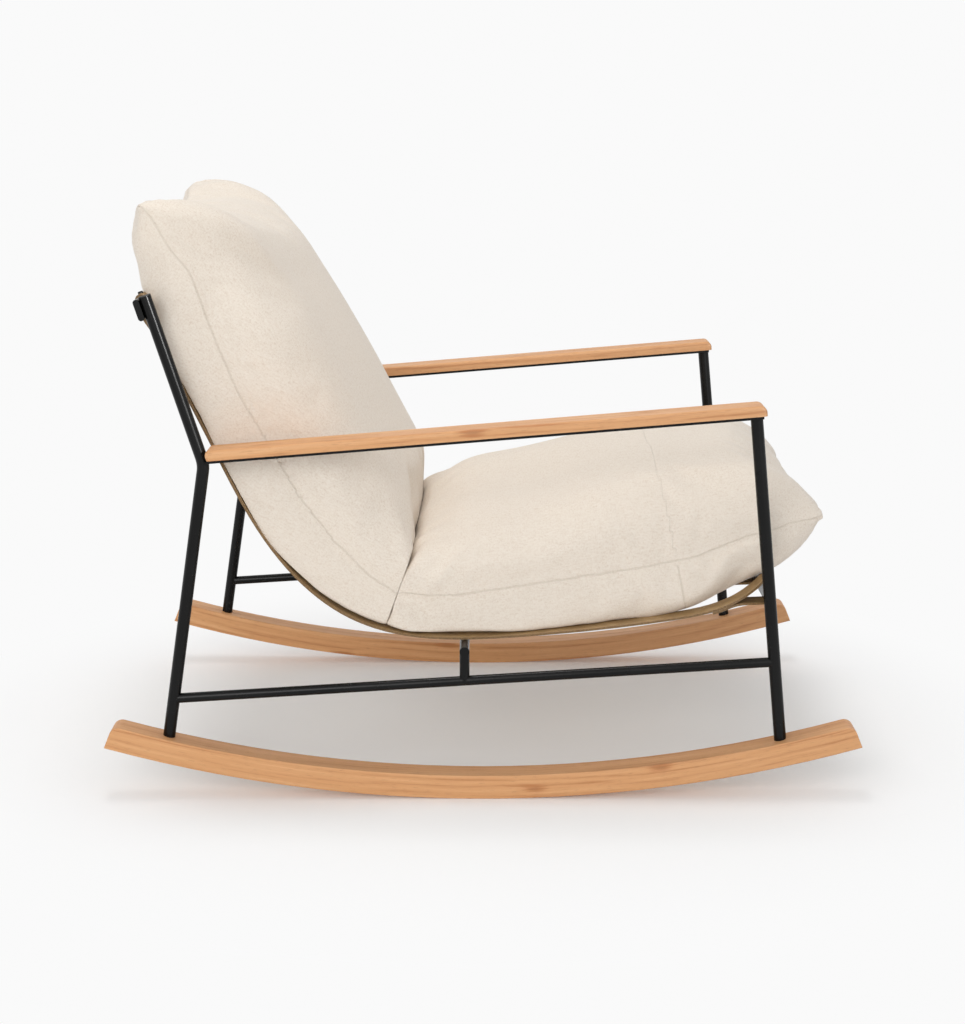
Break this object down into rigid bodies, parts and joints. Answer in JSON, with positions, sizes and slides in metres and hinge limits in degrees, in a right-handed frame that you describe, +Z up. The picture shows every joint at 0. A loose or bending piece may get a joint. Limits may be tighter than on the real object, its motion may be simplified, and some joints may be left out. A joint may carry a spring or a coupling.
{
  "type": "rocking lounge chair",
  "caption": "Low rocking lounge chair: bent steel side frames on curved wooden rockers, wooden armrests, leather straps slung between crossbars, and loose seat and back cushions.",
  "frame": {"origin": "on the floor, midway between the rocker tips and between the two side frames, where the rockers touch the floor", "axes": "+X to the front of the chair, +Y to the sitter's left, +Z up"},
  "size_m": [0.994, 0.685, 0.7787],
  "materials": {
    "oak": "satin",
    "black_steel": "satin",
    "strap_leather": "satin",
    "cushion_fabric": "matte",
    "cushion_fill": "matte",
    "dark_rivet": "satin",
    "bolt_steel": "satin",
    "plug_plastic": "matte"
  },
  "bodies": {
    "frame": {"right_rocker": "oak", "right_rear_leg": "black_steel", "right_front_leg": "black_steel", "right_side_rail": "black_steel", "right_post": "black_steel", "right_arm_bar": "black_steel", "right_armrest": "oak", "left_rocker": "oak", "left_rear_leg": "black_steel", "left_front_leg": "black_steel", "left_side_rail": "black_steel", "left_post": "black_steel", "left_arm_bar": "black_steel", "left_armrest": "oak", "strap_1": "strap_leather", "strap_2": "strap_leather", "strap_3": "strap_leather", "strap_4": "strap_leather", "strap_5": "strap_leather", "strap_6": "strap_leather", "top_crossbar": "black_steel", "front_crossbar": "black_steel", "mid_crossbar": "black_steel", "rocker_bolts": "bolt_steel", "leg_inserts": "bolt_steel", "leg_plugs": "plug_plastic", "armrest_screws": "bolt_steel", "strap_rivets": "dark_rivet", "strap_screws": "dark_rivet"},
    "seat_cushion": {"seat_cushion": "cushion_fabric", "seat_insert": "cushion_fill"},
    "back_cushion": {"back_cushion": "cushion_fabric", "back_insert": "cushion_fill"}
  },
  "joints": [
    {"name": "seat_cushion_lift", "type": "slide", "parent": "frame", "child": "seat_cushion", "axis": [0.5, 0, 0.866], "range_m": [0, 0.6]},
    {"name": "back_cushion_lift", "type": "slide", "parent": "frame", "child": "back_cushion", "axis": [0, 0, 1], "range_m": [0, 0.6]}
  ]
}
